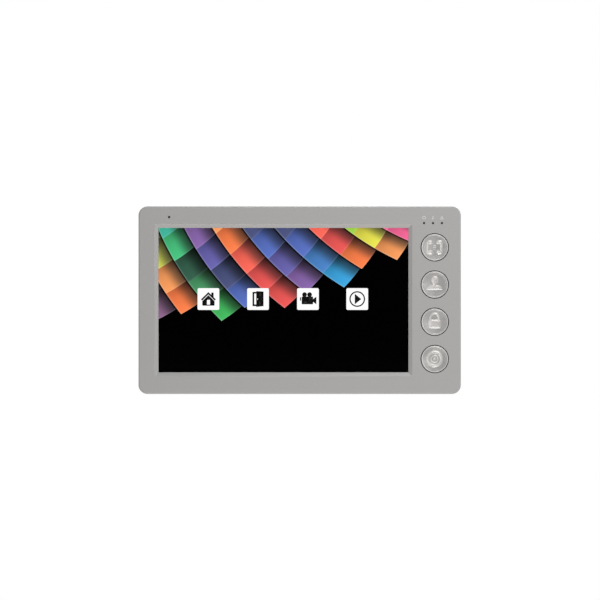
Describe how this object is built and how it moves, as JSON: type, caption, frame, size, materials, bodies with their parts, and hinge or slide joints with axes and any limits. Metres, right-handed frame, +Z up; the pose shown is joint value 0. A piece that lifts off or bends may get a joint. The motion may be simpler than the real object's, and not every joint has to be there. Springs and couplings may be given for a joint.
{
  "type": "video intercom monitor",
  "caption": "Wall-hung video intercom monitor with a wide colour screen, round push buttons and a hook-on steel bracket, for seeing and answering a door caller.",
  "frame": {"origin": "middle of the wall bracket's back face, on the wall plane", "axes": "+X to the right seen from the front, +Y into the wall, +Z up"},
  "size_m": [0.1984, 0.0228, 0.1156],
  "materials": {
    "bezel": "satin metallic grey paint",
    "cover": "fine textured dark grey",
    "zinc_steel": "zinc plated sheet",
    "screw_steel": "dark plated",
    "button_pearl": "pearl silver",
    "screen_glass": "polished screen surface",
    "white_film": "white translucent film",
    "flex_amber": "amber film",
    "black_rubber": "matte black",
    "black_plastic": "matte black",
    "side_control": "satin grey",
    "ivory_plastic": "moulded ivory",
    "smoke_plastic": "smoky clear",
    "board_green": "solder mask",
    "can_aluminium": "bright can",
    "gold_pin": "gold plated",
    "lead_insulation": "red insulation"
  },
  "bodies": {
    "wall_bracket": {"wall_bracket": "zinc_steel"},
    "monitor": {"rear_cover": "cover", "front_bezel": "bezel", "lcd_frame": "zinc_steel", "lcd_panel": "screen_glass", "lcd_diffuser": "white_film", "lcd_light_guide": "white_film", "lcd_back_plate": "zinc_steel", "lcd_led_bar": "flex_amber", "lcd_flex": "flex_amber", "lcd_gasket": "black_rubber", "lcd_clips": "zinc_steel", "lcd_clip_screws": "screw_steel", "switch_bases": "black_plastic", "switch_covers": "zinc_steel", "switch_domes": "zinc_steel", "key_board": "board_green", "key_board_screws": "screw_steel", "status_leds": "white_film", "light_pipe": "smoke_plastic", "mic_capsule": "zinc_steel", "mic_boot": "black_rubber", "mic_leads": "lead_insulation", "main_board": "board_green", "board_screws": "screw_steel", "board_chips": "black_plastic", "capacitors": "can_aluminium", "power_inductors": "black_plastic", "board_headers": "ivory_plastic", "wire_sockets": "ivory_plastic", "socket_pins": "gold_pin", "clock_battery": "zinc_steel", "battery_holder": "black_plastic", "speaker_frame": "black_plastic", "speaker_magnet": "zinc_steel", "speaker_cone": "black_rubber", "speaker_gasket": "black_rubber", "speaker_screws": "screw_steel", "speaker_leads": "lead_insulation", "case_screws": "screw_steel", "key_ribbon": "white_film", "jog_housing": "black_plastic", "power_switch_body": "black_plastic", "card_socket": "zinc_steel", "rear_label": "white_film", "wall_pads": "black_rubber"},
    "answer_button": {"answer_button": "button_pearl"},
    "intercom_button": {"intercom_button": "button_pearl"},
    "unlock_button": {"unlock_button": "button_pearl"},
    "monitor_button": {"monitor_button": "button_pearl"},
    "answer_plunger": {"answer_plunger": "black_plastic"},
    "intercom_plunger": {"intercom_plunger": "black_plastic"},
    "unlock_plunger": {"unlock_plunger": "black_plastic"},
    "monitor_plunger": {"monitor_plunger": "black_plastic"},
    "jog_slider": {"jog_slider": "ivory_plastic"},
    "jog_lever": {"jog_lever": "side_control"},
    "power_knob": {"power_switch_knob": "side_control"}
  },
  "joints": [
    {"name": "unhook_slide", "type": "slide", "parent": "wall_bracket", "child": "monitor", "axis": [0, 0, 1], "range_m": [0, 0.0055]},
    {"name": "answer_press", "type": "slide", "parent": "monitor", "child": "answer_button", "axis": [0, 1, 0], "range_m": [0, 0.0005], "stiffness_N_per_m": 2000, "springref_m": -0.0002},
    {"name": "answer_switch_press", "type": "slide", "parent": "monitor", "child": "answer_plunger", "axis": [0, 1, 0], "range_m": [0, 0.0005]},
    {"name": "intercom_press", "type": "slide", "parent": "monitor", "child": "intercom_button", "axis": [0, 1, 0], "range_m": [0, 0.0005], "stiffness_N_per_m": 2000, "springref_m": -0.0002},
    {"name": "intercom_switch_press", "type": "slide", "parent": "monitor", "child": "intercom_plunger", "axis": [0, 1, 0], "range_m": [0, 0.0005]},
    {"name": "unlock_press", "type": "slide", "parent": "monitor", "child": "unlock_button", "axis": [0, 1, 0], "range_m": [0, 0.0005], "stiffness_N_per_m": 2000, "springref_m": -0.0002},
    {"name": "unlock_switch_press", "type": "slide", "parent": "monitor", "child": "unlock_plunger", "axis": [0, 1, 0], "range_m": [0, 0.0005]},
    {"name": "monitor_press", "type": "slide", "parent": "monitor", "child": "monitor_button", "axis": [0, 1, 0], "range_m": [0, 0.0005], "stiffness_N_per_m": 2000, "springref_m": -0.0002},
    {"name": "monitor_switch_press", "type": "slide", "parent": "monitor", "child": "monitor_plunger", "axis": [0, 1, 0], "range_m": [0, 0.0005]},
    {"name": "jog_push", "type": "slide", "parent": "monitor", "child": "jog_slider", "axis": [-1, 0, 0], "range_m": [0, 0.0008], "stiffness_N_per_m": 800, "springref_m": -0.0002},
    {"name": "jog_tilt", "type": "hinge", "parent": "jog_slider", "child": "jog_lever", "pos_m": [0.088, -0.0099, -0.002], "axis": [0, 1, 0], "range_deg": [-12, 12], "stiffness_Nm_per_rad": 0.02},
    {"name": "power_slide", "type": "slide", "parent": "monitor", "child": "power_knob", "axis": [0, 0, 1], "range_m": [0, 0.002]}
  ],
  "couplings": [
    {"joint": "answer_switch_press", "follows": "answer_press", "ratio": 1},
    {"joint": "intercom_switch_press", "follows": "intercom_press", "ratio": 1},
    {"joint": "unlock_switch_press", "follows": "unlock_press", "ratio": 1},
    {"joint": "monitor_switch_press", "follows": "monitor_press", "ratio": 1}
  ]
}
